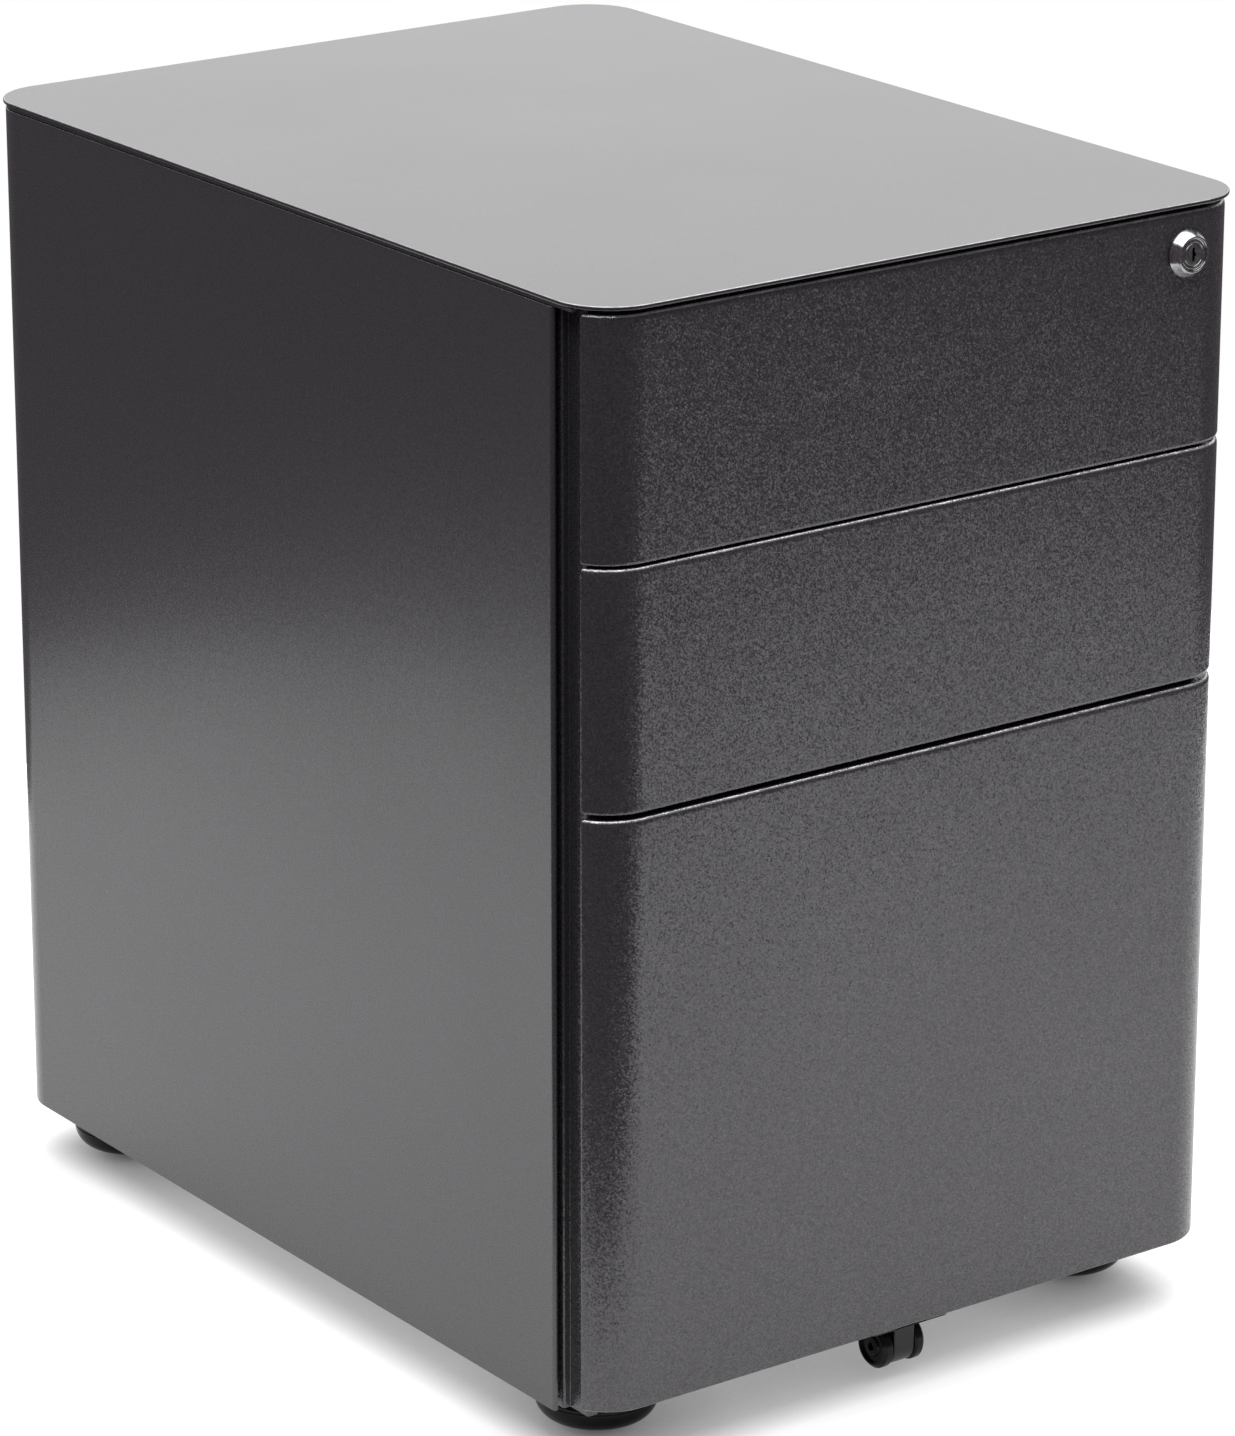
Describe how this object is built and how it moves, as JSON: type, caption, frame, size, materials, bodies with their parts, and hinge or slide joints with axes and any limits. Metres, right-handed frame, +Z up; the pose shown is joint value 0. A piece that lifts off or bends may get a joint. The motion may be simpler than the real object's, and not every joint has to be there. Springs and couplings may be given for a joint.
{
  "type": "filing cabinet",
  "caption": "Low mobile metal filing cabinet with box drawers above a file drawer, side finger grooves, a lock and hidden casters.",
  "frame": {"origin": "on the floor, under the centre of the overall box", "axes": "+Z up, front (drawers) towards -Y, +X to the right of someone facing the front"},
  "size_m": [0.39, 0.539, 0.577],
  "materials": {
    "charcoal_paint": "semi-gloss charcoal powder coat with fine metallic fleck",
    "inner_paint": "semi-matte charcoal powder coat",
    "zinc_steel": "bright zinc plated",
    "chrome": "polished chrome",
    "black_plastic": "glossy black nylon",
    "wheel_grey": "satin dark grey nylon",
    "bumper_rubber": "matte"
  },
  "bodies": {
    "cabinet": {"top_panel": "charcoal_paint", "top_frame": "charcoal_paint", "left_side_panel": "charcoal_paint", "right_side_panel": "charcoal_paint", "back_panel": "charcoal_paint", "base_pan": "charcoal_paint", "left_front_post": "charcoal_paint", "right_front_post": "charcoal_paint", "left_rear_post": "charcoal_paint", "right_rear_post": "charcoal_paint", "caster_plates": "zinc_steel", "caster_screws": "zinc_steel", "back_screws": "zinc_steel", "drawer_bumpers": "bumper_rubber", "lock_bar_guides": "zinc_steel", "slide_1_cabinet_members": "zinc_steel", "slide_2_cabinet_members": "zinc_steel", "slide_3_cabinet_members": "zinc_steel"},
    "drawer_1": {"drawer_1_front": "charcoal_paint", "drawer_1_liner": "inner_paint", "drawer_1_box": "inner_paint", "slide_1_drawer_members": "zinc_steel", "lock_housing": "chrome", "lock_nut": "zinc_steel"},
    "drawer_2": {"drawer_2_front": "charcoal_paint", "drawer_2_liner": "inner_paint", "drawer_2_box": "inner_paint", "slide_2_drawer_members": "zinc_steel"},
    "drawer_3": {"drawer_3_front": "charcoal_paint", "drawer_3_liner": "inner_paint", "drawer_3_box": "inner_paint", "slide_3_drawer_members": "zinc_steel", "file_rails": "zinc_steel", "fifth_caster_body": "black_plastic", "fifth_caster_axle": "zinc_steel"},
    "slide_1_cages": {"slide_1_ball_cages": "zinc_steel"},
    "slide_2_cages": {"slide_2_ball_cages": "zinc_steel"},
    "slide_3_middle": {"slide_3_middle_members": "zinc_steel"},
    "slide_3_outer_cages": {"slide_3_outer_ball_cages": "zinc_steel"},
    "slide_3_inner_cages": {"slide_3_inner_ball_cages": "zinc_steel"},
    "lock_plug": {"lock_plug": "chrome", "lock_cam": "zinc_steel"},
    "lock_bar": {"lock_bar": "zinc_steel"},
    "fifth_wheels": {"fifth_caster_wheels": "wheel_grey"},
    "caster_front_left": {"caster_hood_front_left": "black_plastic", "caster_axle_front_left": "zinc_steel"},
    "wheels_front_left": {"caster_wheels_front_left": "black_plastic"},
    "caster_front_right": {"caster_hood_front_right": "black_plastic", "caster_axle_front_right": "zinc_steel"},
    "wheels_front_right": {"caster_wheels_front_right": "black_plastic"},
    "caster_rear_left": {"caster_hood_rear_left": "black_plastic", "caster_axle_rear_left": "zinc_steel"},
    "wheels_rear_left": {"caster_wheels_rear_left": "black_plastic"},
    "caster_rear_right": {"caster_hood_rear_right": "black_plastic", "caster_axle_rear_right": "zinc_steel"},
    "wheels_rear_right": {"caster_wheels_rear_right": "black_plastic"}
  },
  "joints": [
    {"name": "drawer_1_slide", "type": "slide", "parent": "cabinet", "child": "drawer_1", "axis": [0, -1, 0], "range_m": [0, 0.34]},
    {"name": "drawer_2_slide", "type": "slide", "parent": "cabinet", "child": "drawer_2", "axis": [0, -1, 0], "range_m": [0, 0.34]},
    {"name": "drawer_3_slide", "type": "slide", "parent": "cabinet", "child": "drawer_3", "axis": [0, -1, 0], "range_m": [0, 0.42]},
    {"name": "slide_1_cages_slide", "type": "slide", "parent": "cabinet", "child": "slide_1_cages", "axis": [0, -1, 0], "range_m": [0, 0.17]},
    {"name": "slide_2_cages_slide", "type": "slide", "parent": "cabinet", "child": "slide_2_cages", "axis": [0, -1, 0], "range_m": [0, 0.17]},
    {"name": "slide_3_middle_slide", "type": "slide", "parent": "cabinet", "child": "slide_3_middle", "axis": [0, -1, 0], "range_m": [0, 0.21]},
    {"name": "slide_3_outer_cages_slide", "type": "slide", "parent": "cabinet", "child": "slide_3_outer_cages", "axis": [0, -1, 0], "range_m": [0, 0.105]},
    {"name": "slide_3_inner_cages_slide", "type": "slide", "parent": "cabinet", "child": "slide_3_inner_cages", "axis": [0, -1, 0], "range_m": [0, 0.315]},
    {"name": "lock_turn", "type": "hinge", "parent": "drawer_1", "child": "lock_plug", "pos_m": [0.155, -0.26395, 0.552], "axis": [0, -1, 0], "range_deg": [0, 90]},
    {"name": "lock_bar_lift", "type": "slide", "parent": "cabinet", "child": "lock_bar", "axis": [0, 0, 1], "range_m": [0, 0.009]},
    {"name": "fifth_wheels_roll", "type": "hinge", "parent": "drawer_3", "child": "fifth_wheels", "pos_m": [0, -0.24545, 0.0195], "axis": [1, 0, 0], "continuous": true},
    {"name": "swivel_front_left", "type": "hinge", "parent": "cabinet", "child": "caster_front_left", "pos_m": [-0.151, -0.20055, 0.035], "axis": [0, 0, 1], "continuous": true},
    {"name": "roll_front_left", "type": "hinge", "parent": "caster_front_left", "child": "wheels_front_left", "pos_m": [-0.1485, -0.20488, 0.0125], "axis": [-0.866, -0.5, 0], "continuous": true},
    {"name": "swivel_front_right", "type": "hinge", "parent": "cabinet", "child": "caster_front_right", "pos_m": [0.151, -0.20055, 0.035], "axis": [0, 0, 1], "continuous": true},
    {"name": "roll_front_right", "type": "hinge", "parent": "caster_front_right", "child": "wheels_front_right", "pos_m": [0.1535, -0.19622, 0.0125], "axis": [0.866, -0.5, 0], "continuous": true},
    {"name": "swivel_rear_left", "type": "hinge", "parent": "cabinet", "child": "caster_rear_left", "pos_m": [-0.151, 0.21545, 0.035], "axis": [0, 0, 1], "continuous": true},
    {"name": "roll_rear_left", "type": "hinge", "parent": "caster_rear_left", "child": "wheels_rear_left", "pos_m": [-0.15187, 0.22037, 0.0125], "axis": [0.9848, 0.1736, 0], "continuous": true},
    {"name": "swivel_rear_right", "type": "hinge", "parent": "cabinet", "child": "caster_rear_right", "pos_m": [0.151, 0.21545, 0.035], "axis": [0, 0, 1], "continuous": true},
    {"name": "roll_rear_right", "type": "hinge", "parent": "caster_rear_right", "child": "wheels_rear_right", "pos_m": [0.15187, 0.22037, 0.0125], "axis": [0.9848, -0.1736, 0], "continuous": true}
  ],
  "couplings": [
    {"joint": "slide_1_cages_slide", "follows": "drawer_1_slide", "ratio": 0.5},
    {"joint": "slide_2_cages_slide", "follows": "drawer_2_slide", "ratio": 0.5},
    {"joint": "slide_3_middle_slide", "follows": "drawer_3_slide", "ratio": 0.5},
    {"joint": "slide_3_outer_cages_slide", "follows": "drawer_3_slide", "ratio": 0.25},
    {"joint": "slide_3_inner_cages_slide", "follows": "drawer_3_slide", "ratio": 0.75},
    {"joint": "lock_turn", "follows": "lock_bar_lift", "rad_per_m": 174.5}
  ]
}
